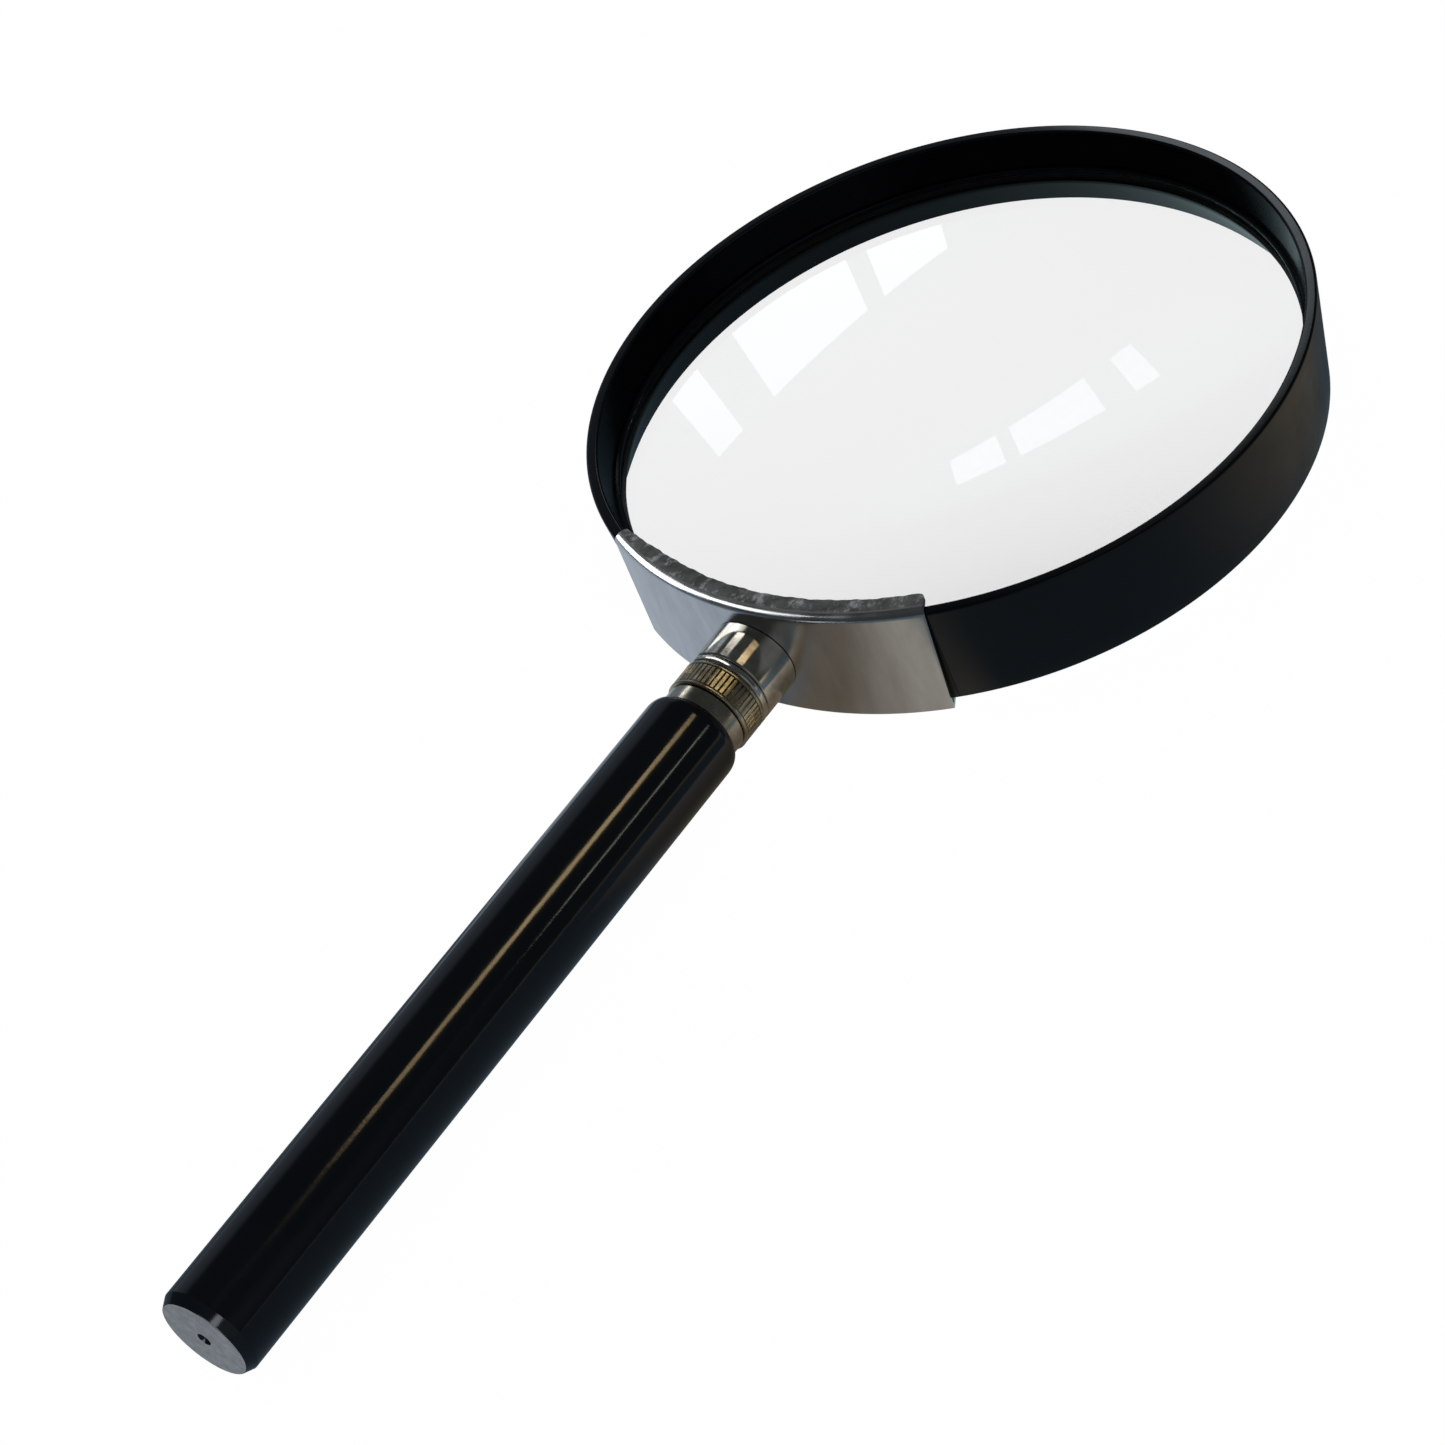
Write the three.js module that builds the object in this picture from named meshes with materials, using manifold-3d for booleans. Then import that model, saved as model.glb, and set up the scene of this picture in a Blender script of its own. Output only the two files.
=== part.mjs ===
// Reading magnifier: a biconvex lens in a black plastic band, held by a folded steel saddle with a tapped
// neck, and a black rod handle that unscrews from the neck.
//
// Millimetres, +Z up. The magnifier lies flat: the band's axis is vertical and the handle runs along -Y.
// The origin is at the centre of its outline, on the surface that it lies on.
// Distances named S_ are measured along the handle's axis from the band's own centre.

import * as THREE from "three";
import { mergeVertices } from "three/addons/utils/BufferGeometryUtils.js";
import Module from "manifold-3d";

const wasm = await Module();
wasm.setup();

// ---- Driving dimensions --------------------------------------------------------------------------------

const GAP = 0.1; // clearance between neighbouring pieces
const RING_SIDES = 72; // facets round the band and the lens
const NECK_SIDES = 36; // facets round the neck and the handle

const BAND_TOP_RADIUS = 53;
const BAND_BOTTOM_RADIUS = 51.4;
const BAND_HEIGHT = 17.1;
const BAND_MOUTH_RADIUS = 51.3; // inside of the upper edge
const BAND_WALL_RADIUS = 50.4; // inside, just above the lens
const BAND_EDGE_ROUND = 0.4;
const LEDGE_RADIUS = 49.3; // inside, below the lens, which rests on this ledge
const LEDGE_DEPTH = 1; // upright part of the ledge, before the skirt below it widens
const SKIRT_RADIUS = 50.7; // inside of the lower edge
const SEAT_RADIUS = 52.3; // outside, in the upright seat that the saddle lies in
const SEAT_HALF_ANGLE = 30.4; // degrees either side of the handle

const LENS_RADIUS = 50;
const LENS_EDGE = 3; // thickness of the glass at its edge
const LENS_BULGE = 3; // rise of each face from its edge to its centre
const LENS_EDGE_HEIGHT = 8.3; // underside of the glass's edge
const LENS_RINGS = 5; // steps from the centre of a lens face to its edge

const RETAINER_INNER_RADIUS = 49.75;
const RETAINER_OUTER_RADIUS = 50.55;
const RETAINER_HEIGHT = 0.7;
const RETAINER_ROUND = 0.2;
const RETAINER_SPLIT = 3; // opening in the spring ring
const SPLIT_CUT = 6; // depth and height of the cut that makes it

const SHEET = 0.7; // thickness of the saddle's steel
const SADDLE_HALF_ANGLE = 29.9;
const SADDLE_LIP_RADIUS = 49.6; // inner edge of both folded lips
const SADDLE_BEND = 1.2; // outer radius of the folds

const SLEEVE_RADIUS = 6.3;
const SLEEVE_BORE = 5.5;
const SLEEVE_ROUND = 0.3;
const STUD_RADIUS = 3;
const STUD_POINT = 0.6; // chamfer at the stud's tip
const TENON_RADIUS = 2;
const TENON_HEAD_RADIUS = 2.8;
const TENON_HEAD_THICKNESS = 0.7;
const POCKET_RADIUS = 3.1; // hollow in the band for the tenon's head
const POCKET_FLOOR = 51.15; // distance of the pocket's floor from the band's centre
const THROUGH = 2; // how far a cut runs on past the wall that it goes through

const S_SLEEVE_END = 59.3;
const S_WASHER_END = 60.5;
const S_COLLAR_END = 64.9;
const S_FERRULE_END = 67.5;
const S_SPIGOT_END = 69.6;
const S_STUD_TIP = 54.3;
const S_INSERT_START = 70;
const S_INSERT_END = 84;
const S_STUD_END = 82;
const S_HANDLE_END = 174.6;

const WASHER_ROUND = 0.35;
const COLLAR_RADIUS = 6.3;
const COLLAR_LIP = 0.5; // width of the plain lip at each end of the knurl
const COLLAR_CHAMFER = 0.2;
const KNURL_RIBS = 54;
const KNURL_DEPTH = 0.3;
const FERRULE_RADIUS = 5.95;
const FERRULE_CHAMFER = 0.15;
const SPIGOT_RADIUS = 4.6;
const INSERT_RADIUS = 4.2;
const INSERT_WAIST_RADIUS = 3.8;
const INSERT_FLANGE = 3; // length of the wide part at each end of the insert

const HANDLE_RADIUS = 7;
const SHOULDER_DEPTH = 1.1; // rounding at the neck end, across the rod
const SHOULDER_LENGTH = 2; // and along it
const END_CHAMFER_LENGTH = 1.4;
const END_CHAMFER_DEPTH = 0.7;
const END_EDGE = 0.25;
const CENTRE_HOLE_RADIUS = 1; // centre-drilled hole in the handle's end
const CENTRE_PILOT_RADIUS = 0.5;
const CENTRE_CONE_DEPTH = 0.9;
const CENTRE_HOLE_DEPTH = 4;

// ---- Places worked out from them -----------------------------------------------------------------------

const BAND_BOTTOM = SHEET + GAP;
const BAND_TOP = BAND_BOTTOM + BAND_HEIGHT;
const SADDLE_TOP = BAND_TOP + GAP + SHEET;
const AXIS_HEIGHT = BAND_BOTTOM + BAND_HEIGHT / 2;
const LENS_TOP = LENS_EDGE_HEIGHT + LENS_EDGE;
const BAND_CENTRE_Y = (S_HANDLE_END - BAND_TOP_RADIUS) / 2;
const STUD_BORE = STUD_RADIUS + GAP;

// Rise of a lens face above its own edge, at a distance from the lens's centre.
function lensRise(r) {
  const faceRadius = (LENS_RADIUS ** 2 + LENS_BULGE ** 2) / (2 * LENS_BULGE);
  return LENS_BULGE - faceRadius + Math.sqrt(faceRadius ** 2 - r ** 2);
}

// ---- Materials -----------------------------------------------------------------------------------------

function finish(color, roughness, metalness) {
  return new THREE.MeshStandardMaterial({ color, roughness, metalness });
}

const blackBand = finish(0x121417, 0.42, 0);
const blackRing = finish(0x0e1012, 0.5, 0);
const satinSteel = finish(0x9a9da1, 0.32, 1);
const nickel = finish(0xb9b4a6, 0.18, 1);
const nickelCollar = finish(0xaea387, 0.26, 1);
const nickelFerrule = finish(0xb3afa3, 0.2, 1);
const brass = finish(0xa88c52, 0.35, 1);
const brassInsert = finish(0x9c8248, 0.4, 1);
const zincSteel = finish(0x8d8f92, 0.35, 1);
const blackHandle = finish(0x0b0c0f, 0.16, 0);
const washerSteel = finish(0xd0d0cd, 0.2, 1);
const glass = finish(0xf2f5f4, 0.02, 0);
glass.transparent = true;
glass.opacity = 0.35;

// ---- Helpers -------------------------------------------------------------------------------------------

// Points of an arc, or of a quarter ellipse, in a profile. Angles are in degrees from the first axis.
function arc(x, y, radius, from, to, steps, secondRadius = radius) {
  const points = [];
  for (let i = 0; i <= steps; i += 1) {
    const angle = THREE.MathUtils.degToRad(from + ((to - from) * i) / steps);
    points.push([x + radius * Math.cos(angle), y + secondRadius * Math.sin(angle)]);
  }
  return points;
}

// A profile of radius and length turned about Y. One that doesn't touch the axis is closed on itself.
function turned(profile, sides = NECK_SIDES) {
  const points = profile.map(([r, y]) => new THREE.Vector2(r, y));
  if (profile[0][0] > 0) {
    points.push(points[0].clone());
  }
  return new THREE.LatheGeometry(points, sides);
}

// A profile of radius and height turned about the band's upright axis.
function turnedUpright(profile, sides = RING_SIDES) {
  return turned(profile, sides).rotateX(Math.PI / 2);
}

// Moves a piece from the handle's frame, where Y runs along the handle, to the band's frame.
function toBandFrame(geometry) {
  return geometry.rotateX(Math.PI).translate(0, 0, AXIS_HEIGHT);
}

// A plain rod on the handle's axis, in the band's frame.
function rodAcross(radius, from, to) {
  const rod = new THREE.CylinderGeometry(radius, radius, to - from, NECK_SIDES);
  return toBandFrame(rod.translate(0, (from + to) / 2, 0));
}

// A disc whose side lies a clearance outside the band's seat, for cutting pieces to its curve.
function seatPlug(clearance) {
  const radius = SEAT_RADIUS + clearance;
  const profile = [
    [0, 0],
    [radius, 0],
    [radius, SADDLE_TOP],
    [0, SADDLE_TOP],
  ];
  return turnedUpright(profile, 2 * RING_SIDES);
}

// A tall wedge on the handle's side of the band's axis.
function sector(halfAngle) {
  const reach = 2 * BAND_TOP_RADIUS;
  const half = THREE.MathUtils.degToRad(halfAngle);
  const wedge = new THREE.Shape([
    new THREE.Vector2(0, 0),
    new THREE.Vector2(-reach * Math.sin(half), -reach * Math.cos(half)),
    new THREE.Vector2(reach * Math.sin(half), -reach * Math.cos(half)),
  ]);
  const upright = new THREE.ExtrudeGeometry(wedge, { depth: 2 * SADDLE_TOP, bevelEnabled: false });
  return upright.translate(0, 0, -SADDLE_TOP / 2);
}

function solid(geometry) {
  const bare = geometry.clone();
  bare.deleteAttribute("normal");
  bare.deleteAttribute("uv");
  const merged = mergeVertices(bare, 1e-4);
  return new wasm.Manifold(
    new wasm.Mesh({
      numProp: 3,
      vertProperties: new Float32Array(merged.getAttribute("position").array),
      triVerts: new Uint32Array(merged.index.array),
    }),
  );
}

function surface(body) {
  const { vertProperties, triVerts } = body.getMesh();
  const geometry = new THREE.BufferGeometry();
  geometry.setAttribute("position", new THREE.BufferAttribute(vertProperties, 3));
  geometry.setIndex(new THREE.BufferAttribute(triVerts, 1));
  geometry.computeVertexNormals();
  return geometry;
}

function piece(name, geometry, material) {
  const mesh = new THREE.Mesh(geometry, material);
  mesh.name = name;
  return mesh;
}

// ---- Head, in the band's frame -------------------------------------------------------------------------

// The band: a tapered wall with a ledge for the lens and a shallow groove above it for the spring ring. Its
// outside is upright where the saddle lies, with a blind pocket there for the head of the bush's tenon.
function rimBand() {
  const seat = LENS_RADIUS + GAP;
  const groove = RETAINER_OUTER_RADIUS + GAP;
  const grooveTop = LENS_TOP + RETAINER_HEIGHT + 3 * GAP;
  const edge = BAND_EDGE_ROUND;
  const profile = [
    [SKIRT_RADIUS, BAND_BOTTOM],
    ...arc(BAND_BOTTOM_RADIUS - edge, BAND_BOTTOM + edge, edge, -90, 0, 1),
    ...arc(BAND_TOP_RADIUS - edge, BAND_TOP - edge, edge, 0, 90, 2),
    ...arc(BAND_MOUTH_RADIUS + edge, BAND_TOP - edge, edge, 90, 180, 1),
    [BAND_WALL_RADIUS, grooveTop],
    [groove, grooveTop],
    [groove, LENS_TOP + GAP],
    [seat, LENS_TOP],
    [seat, LENS_EDGE_HEIGHT - GAP],
    [LEDGE_RADIUS, LENS_EDGE_HEIGHT - lensRise(LEDGE_RADIUS) - GAP],
    [LEDGE_RADIUS, LENS_EDGE_HEIGHT - LEDGE_DEPTH],
  ];
  const seatWall = turnedUpright([
    [SKIRT_RADIUS + edge, BAND_BOTTOM],
    [SEAT_RADIUS, BAND_BOTTOM],
    [SEAT_RADIUS, AXIS_HEIGHT],
    [SKIRT_RADIUS + edge, AXIS_HEIGHT],
  ]);
  const outside = turnedUpright([
    [SEAT_RADIUS - edge, 0],
    [BAND_TOP_RADIUS + THROUGH, 0],
    [BAND_TOP_RADIUS + THROUGH, SADDLE_TOP],
    [SEAT_RADIUS - edge, SADDLE_TOP],
    [SEAT_RADIUS - edge, BAND_TOP],
    [SEAT_RADIUS, BAND_TOP - edge],
    [SEAT_RADIUS, BAND_BOTTOM + edge],
    [SEAT_RADIUS - edge, BAND_BOTTOM],
  ]);
  const pocket = rodAcross(POCKET_RADIUS, POCKET_FLOOR, BAND_TOP_RADIUS + THROUGH);
  const seatSide = solid(sector(SEAT_HALF_ANGLE));
  const filled = solid(turnedUpright(profile)).add(solid(seatWall).intersect(seatSide));
  return surface(filled.subtract(solid(outside).intersect(seatSide)).subtract(solid(pocket)));
}

function lens() {
  const above = [];
  for (let i = 0; i <= LENS_RINGS; i += 1) {
    const r = (LENS_RADIUS * i) / LENS_RINGS;
    above.push([r, LENS_TOP + lensRise(r)]);
  }
  const below = above.map(([r, z]) => [r, LENS_TOP + LENS_EDGE_HEIGHT - z]);
  return turnedUpright([...below, ...above.reverse()]);
}

// Thin spring ring that snaps in above the lens, split where the saddle's lip covers it.
function lensRetainingRing() {
  const bottom = LENS_TOP + 2 * GAP;
  const top = bottom + RETAINER_HEIGHT;
  const inner = RETAINER_INNER_RADIUS;
  const ring = turnedUpright([
    [RETAINER_OUTER_RADIUS, bottom],
    [RETAINER_OUTER_RADIUS, top],
    ...arc(inner + RETAINER_ROUND, top - RETAINER_ROUND, RETAINER_ROUND, 90, 180, 1),
    [inner, bottom + lensRise(inner)],
  ]);
  const split = new THREE.BoxGeometry(RETAINER_SPLIT, SPLIT_CUT, SPLIT_CUT);
  return surface(solid(ring).subtract(solid(split.translate(0, -LENS_RADIUS, top))));
}

// Steel strip round the front of the band, folded over its top and under its bottom, with a hole for the
// bush's tenon.
function saddlePlate() {
  const bend = SADDLE_BEND;
  const inside = bend - SHEET;
  const fold = SEAT_RADIUS + GAP + SHEET - bend;
  const strip = turnedUpright([
    [SADDLE_LIP_RADIUS, 0],
    ...arc(fold, bend, bend, -90, 0, 3),
    ...arc(fold, SADDLE_TOP - bend, bend, 0, 90, 3),
    [SADDLE_LIP_RADIUS, SADDLE_TOP],
    [SADDLE_LIP_RADIUS, SADDLE_TOP - SHEET],
    ...arc(fold, SADDLE_TOP - bend, inside, 90, 0, 1),
    ...arc(fold, bend, inside, 0, -90, 1),
    [SADDLE_LIP_RADIUS, SHEET],
  ]);
  const hole = rodAcross(TENON_RADIUS + GAP, POCKET_FLOOR, BAND_TOP_RADIUS + THROUGH);
  return surface(solid(strip).intersect(solid(sector(SADDLE_HALF_ANGLE))).subtract(solid(hole)));
}

// Plated tube over the bush, its end cut to the saddle's curve.
function socketSleeve() {
  const tube = toBandFrame(
    turned([
      [SLEEVE_BORE, BAND_BOTTOM_RADIUS],
      [SLEEVE_RADIUS, BAND_BOTTOM_RADIUS],
      ...arc(SLEEVE_RADIUS - SLEEVE_ROUND, S_SLEEVE_END - SLEEVE_ROUND, SLEEVE_ROUND, 0, 90, 2),
      [SLEEVE_BORE, S_SLEEVE_END],
    ]),
  );
  return surface(solid(tube).subtract(solid(seatPlug(SHEET + 2 * GAP))));
}

// Tapped bush whose end is cut to the saddle's curve. Its tenon passes through the saddle and is riveted
// over behind it, in the band's pocket.
function threadedBush() {
  const mouth = S_SLEEVE_END - 2 * GAP;
  const bottom = S_STUD_TIP - 2 * GAP;
  const barrel = toBandFrame(
    turned([
      [0, BAND_BOTTOM_RADIUS],
      [SLEEVE_BORE - GAP, BAND_BOTTOM_RADIUS],
      [SLEEVE_BORE - GAP, mouth],
      [STUD_BORE + STUD_POINT, mouth],
      [STUD_BORE, mouth - STUD_POINT],
      [STUD_BORE, bottom],
      [0, bottom],
    ]),
  );
  const headFace = SEAT_RADIUS - 2 * GAP;
  const riveted = rodAcross(TENON_HEAD_RADIUS, headFace - TENON_HEAD_THICKNESS, headFace + THROUGH);
  const body = solid(barrel).subtract(solid(seatPlug(SHEET + 2 * GAP)));
  const rivet = solid(riveted).intersect(solid(seatPlug(-GAP)));
  const tenon = solid(rodAcross(TENON_RADIUS, headFace - TENON_HEAD_THICKNESS, bottom - 2 * GAP));
  return surface(body.add(rivet).add(tenon));
}

// ---- Washer and handle, in the handle's frame: Y runs along the handle, away from the band --------------

// Bright washer between the socket and the collar.
function thrustWasher() {
  const start = S_SLEEVE_END + GAP;
  const centre = SLEEVE_RADIUS - WASHER_ROUND;
  return turned([
    [STUD_BORE, start],
    ...arc(centre, start + WASHER_ROUND, WASHER_ROUND, -90, 0, 2),
    ...arc(centre, S_WASHER_END - WASHER_ROUND, WASHER_ROUND, 0, 90, 2),
    [STUD_BORE, S_WASHER_END],
  ]);
}

// Outline of the knurl, a crest and a root for each rib.
function knurlOutline(root) {
  const outline = [];
  for (let i = 0; i < 2 * KNURL_RIBS; i += 1) {
    const radius = i % 2 ? root : COLLAR_RADIUS;
    const angle = (i * Math.PI) / KNURL_RIBS;
    outline.push(new THREE.Vector2(radius * Math.cos(angle), radius * Math.sin(angle)));
  }
  return outline;
}

// Collar with a straight knurl between two plain lips.
function knurledCollar() {
  const start = S_WASHER_END + GAP;
  const root = COLLAR_RADIUS - KNURL_DEPTH;
  const waist = root - GAP;
  const ribs = new THREE.ExtrudeGeometry(new THREE.Shape(knurlOutline(root)), {
    depth: S_COLLAR_END - start - COLLAR_LIP,
    bevelEnabled: false,
  });
  ribs.rotateX(-Math.PI / 2).translate(0, start + COLLAR_LIP / 2, 0);
  const core = turned([
    [0, start],
    [COLLAR_RADIUS - COLLAR_CHAMFER, start],
    [COLLAR_RADIUS, start + COLLAR_CHAMFER],
    [COLLAR_RADIUS, start + COLLAR_LIP],
    [waist, start + COLLAR_LIP],
    [waist, S_COLLAR_END - COLLAR_LIP],
    [COLLAR_RADIUS, S_COLLAR_END - COLLAR_LIP],
    [COLLAR_RADIUS, S_COLLAR_END - COLLAR_CHAMFER],
    [COLLAR_RADIUS - COLLAR_CHAMFER, S_COLLAR_END],
    [0, S_COLLAR_END],
  ]);
  const length = S_COLLAR_END - start + 2 * THROUGH;
  const bore = new THREE.CylinderGeometry(STUD_BORE, STUD_BORE, length, NECK_SIDES);
  bore.translate(0, (start + S_COLLAR_END) / 2, 0);
  return surface(solid(core).add(solid(ribs)).subtract(solid(bore)));
}

// Plain ferrule with a spigot that centres it in the handle.
function handleFerrule() {
  const start = S_COLLAR_END + GAP;
  return turned([
    [STUD_BORE, start],
    [FERRULE_RADIUS - FERRULE_CHAMFER, start],
    [FERRULE_RADIUS, start + FERRULE_CHAMFER],
    [FERRULE_RADIUS, S_FERRULE_END],
    [SPIGOT_RADIUS, S_FERRULE_END],
    [SPIGOT_RADIUS, S_SPIGOT_END],
    [STUD_BORE, S_SPIGOT_END],
  ]);
}

// Threaded stud that is fixed in the handle's insert and screws into the bush.
function handleStud() {
  return turned([
    [0, S_STUD_TIP],
    [STUD_RADIUS - STUD_POINT, S_STUD_TIP],
    [STUD_RADIUS, S_STUD_TIP + STUD_POINT],
    [STUD_RADIUS, S_STUD_END],
    [0, S_STUD_END],
  ]);
}

// Waisted brass insert, blind at its far end, that anchors the stud in the rod.
function studInsert() {
  const slope = INSERT_RADIUS - INSERT_WAIST_RADIUS;
  return turned([
    [STUD_BORE, S_INSERT_START],
    [INSERT_RADIUS, S_INSERT_START],
    [INSERT_RADIUS, S_INSERT_START + INSERT_FLANGE],
    [INSERT_WAIST_RADIUS, S_INSERT_START + INSERT_FLANGE + slope],
    [INSERT_WAIST_RADIUS, S_INSERT_END - INSERT_FLANGE - slope],
    [INSERT_RADIUS, S_INSERT_END - INSERT_FLANGE],
    [INSERT_RADIUS, S_INSERT_END],
    [0, S_INSERT_END],
    [0, S_STUD_END + GAP],
    [STUD_BORE, S_STUD_END + GAP],
  ]);
}

// Turned rod with a stepped hole for the spigot and the insert, and a centre-drilled end.
function handleGrip() {
  const start = S_FERRULE_END + GAP;
  const shoulder = [HANDLE_RADIUS - SHOULDER_DEPTH, start + SHOULDER_LENGTH];
  const faceRadius = HANDLE_RADIUS - END_CHAMFER_DEPTH;
  return turned([
    [0, S_INSERT_END + GAP],
    [INSERT_RADIUS + GAP, S_INSERT_END + GAP],
    [INSERT_RADIUS + GAP, S_SPIGOT_END + GAP],
    [SPIGOT_RADIUS + GAP, S_SPIGOT_END + GAP],
    [SPIGOT_RADIUS + GAP, start],
    ...arc(...shoulder, SHOULDER_DEPTH, -90, 0, 4, SHOULDER_LENGTH),
    [HANDLE_RADIUS, S_HANDLE_END - END_CHAMFER_LENGTH],
    [faceRadius + END_EDGE, S_HANDLE_END - END_EDGE],
    [faceRadius, S_HANDLE_END],
    [CENTRE_HOLE_RADIUS, S_HANDLE_END],
    [CENTRE_PILOT_RADIUS, S_HANDLE_END - CENTRE_CONE_DEPTH],
    [CENTRE_PILOT_RADIUS, S_HANDLE_END - CENTRE_HOLE_DEPTH],
    [0, S_HANDLE_END - CENTRE_HOLE_DEPTH],
  ]);
}

// ---- Assembly ------------------------------------------------------------------------------------------

const head = new THREE.Group();
head.position.y = BAND_CENTRE_Y;
head.add(
  piece("rim_band", rimBand(), blackBand),
  piece("lens", lens(), glass),
  piece("lens_retaining_ring", lensRetainingRing(), blackRing),
  piece("saddle_plate", saddlePlate(), satinSteel),
  piece("socket_sleeve", socketSleeve(), nickel),
  piece("threaded_bush", threadedBush(), brass),
);

const handle = new THREE.Group();
handle.position.set(0, BAND_CENTRE_Y, AXIS_HEIGHT);
handle.rotation.x = Math.PI;
handle.add(
  piece("thrust_washer", thrustWasher(), washerSteel),
  piece("knurled_collar", knurledCollar(), nickelCollar),
  piece("handle_ferrule", handleFerrule(), nickelFerrule),
  piece("handle_stud", handleStud(), zincSteel),
  piece("stud_insert", studInsert(), brassInsert),
  piece("handle_grip", handleGrip(), blackHandle),
);

const group = new THREE.Group();
group.add(head, handle);

export default group;
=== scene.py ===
import math

import bmesh
import bpy
from mathutils import Matrix, Vector


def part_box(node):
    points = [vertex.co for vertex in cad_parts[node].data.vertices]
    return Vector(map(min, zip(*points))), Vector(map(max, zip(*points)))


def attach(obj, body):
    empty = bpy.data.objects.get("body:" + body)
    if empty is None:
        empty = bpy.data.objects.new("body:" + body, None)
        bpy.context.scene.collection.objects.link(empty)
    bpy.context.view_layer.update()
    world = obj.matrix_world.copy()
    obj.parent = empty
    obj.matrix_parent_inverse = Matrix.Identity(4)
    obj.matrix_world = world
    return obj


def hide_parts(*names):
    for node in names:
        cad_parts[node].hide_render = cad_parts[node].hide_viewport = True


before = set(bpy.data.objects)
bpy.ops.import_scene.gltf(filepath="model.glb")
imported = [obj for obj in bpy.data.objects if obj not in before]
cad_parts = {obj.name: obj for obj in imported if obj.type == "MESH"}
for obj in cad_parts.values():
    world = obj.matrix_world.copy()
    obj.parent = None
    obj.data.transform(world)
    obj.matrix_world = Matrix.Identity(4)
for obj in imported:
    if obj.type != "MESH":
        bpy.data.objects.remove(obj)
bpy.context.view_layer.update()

# A reading magnifier that lies flat: the band's axis is upright and the handle runs along -Y.
# Lengths in this script are millimetres, and MM turns them into the scene's metres.
# Lengths called s are measured along the handle's axis from the band's own centre.
MM = 0.001


def node_box(node):
    """Lowest and highest corner of a CAD node, in millimetres."""
    low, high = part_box(node)
    return low / MM, high / MM


BAND_LOW, BAND_HIGH = node_box("rim_band")
BAND_BOTTOM = BAND_LOW.z
BAND_TOP = BAND_HIGH.z
BAND_TOP_RADIUS = (BAND_HIGH.x - BAND_LOW.x) / 2
BAND_Y = BAND_HIGH.y - BAND_TOP_RADIUS  # the seat flattens the band's other side
AXIS_Z = (BAND_BOTTOM + BAND_TOP) / 2


def along_handle(node):
    """Start, end and outer radius of a node on the handle's axis."""
    low, high = node_box(node)
    return BAND_Y - high.y, BAND_Y - low.y, (high.x - low.x) / 2


# ---- Camera --------------------------------------------------------------------------------------------

CAMERA_TARGET = Vector((-4.855, 1.95, 0.8)) * MM
CAMERA_DISTANCE = 530 * MM
CAMERA_AZIMUTH = 50.56
CAMERA_ELEVATION = 40.53
CAMERA_ROLL = -23.1
CAMERA_LENS = 96.65
SENSOR = 36


def direction(azimuth, elevation):
    """Unit vector towards an azimuth and elevation in degrees. Azimuth 0 is -Y, and 90 is +X."""
    turn, rise = math.radians(azimuth), math.radians(elevation)
    return Vector((math.sin(turn) * math.cos(rise), -math.cos(turn) * math.cos(rise), math.sin(rise)))


def make_camera():
    data = bpy.data.cameras.new("camera")
    data.lens = CAMERA_LENS
    data.sensor_width = SENSOR
    camera = bpy.data.objects.new("camera", data)
    bpy.context.scene.collection.objects.link(camera)
    back = direction(CAMERA_AZIMUTH, CAMERA_ELEVATION)
    facing = (-back).to_track_quat("-Z", "Y").to_matrix()
    roll = Matrix.Rotation(math.radians(CAMERA_ROLL), 3, "Z")
    camera.matrix_world = (facing @ roll).to_4x4()
    camera.location = CAMERA_TARGET + back * CAMERA_DISTANCE
    bpy.context.scene.camera = camera


# ---- Mesh helpers --------------------------------------------------------------------------------------

ON_AXIS = 1e-6  # a radius under this is a point on the axis
SHARP = math.radians(38)


def upright(radius, angle, height):
    """A point round the band's axis. Angle 0 faces the handle and a quarter turn faces +X."""
    return Vector((radius * math.sin(angle), BAND_Y - radius * math.cos(angle), height)) * MM


def lengthwise(radius, angle, s):
    """A point round the handle's axis. Angle 0 is the top and a quarter turn faces +X."""
    return Vector((radius * math.sin(angle), BAND_Y - s, AXIS_Z + radius * math.cos(angle))) * MM


def rounded(corners, steps=5):
    """A closed outline of (radius, height, rounding) corners, each rounding an arc tangent to both sides."""
    outline = []
    for i, (x, y, rounding) in enumerate(corners):
        corner = Vector((x, y))
        if not rounding:
            outline.append((x, y))
            continue
        before = (Vector(corners[i - 1][:2]) - corner).normalized()
        after = (Vector(corners[(i + 1) % len(corners)][:2]) - corner).normalized()
        half = before.angle(after) / 2
        reach = rounding / math.tan(half)
        centre = corner + (before + after).normalized() * (rounding / math.sin(half))
        first = corner + before * reach - centre
        last = corner + after * reach - centre
        start = math.atan2(first.y, first.x)
        sweep = math.atan2(first.cross(last), first.dot(last))
        for step in range(steps + 1):
            angle = start + sweep * step / steps
            outline.append((centre.x + rounding * math.cos(angle), centre.y + rounding * math.sin(angle)))
    return outline


def bridge(mesh, near, far, sides):
    """Faces between two rings of vertices, where a ring of one vertex is a point on the axis."""
    if len(near) == 1 and len(far) == 1:
        return
    for i in range(sides):
        j = (i + 1) % sides
        corners = [near[i % len(near)], near[j % len(near)], far[j % len(far)], far[i % len(far)]]
        mesh.faces.new(list(dict.fromkeys(corners)))


def strip_faces(mesh, near, far):
    """Faces between two open rows of vertices."""
    for i in range(len(near) - 1):
        mesh.faces.new((near[i], near[i + 1], far[i + 1], far[i]))


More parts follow.
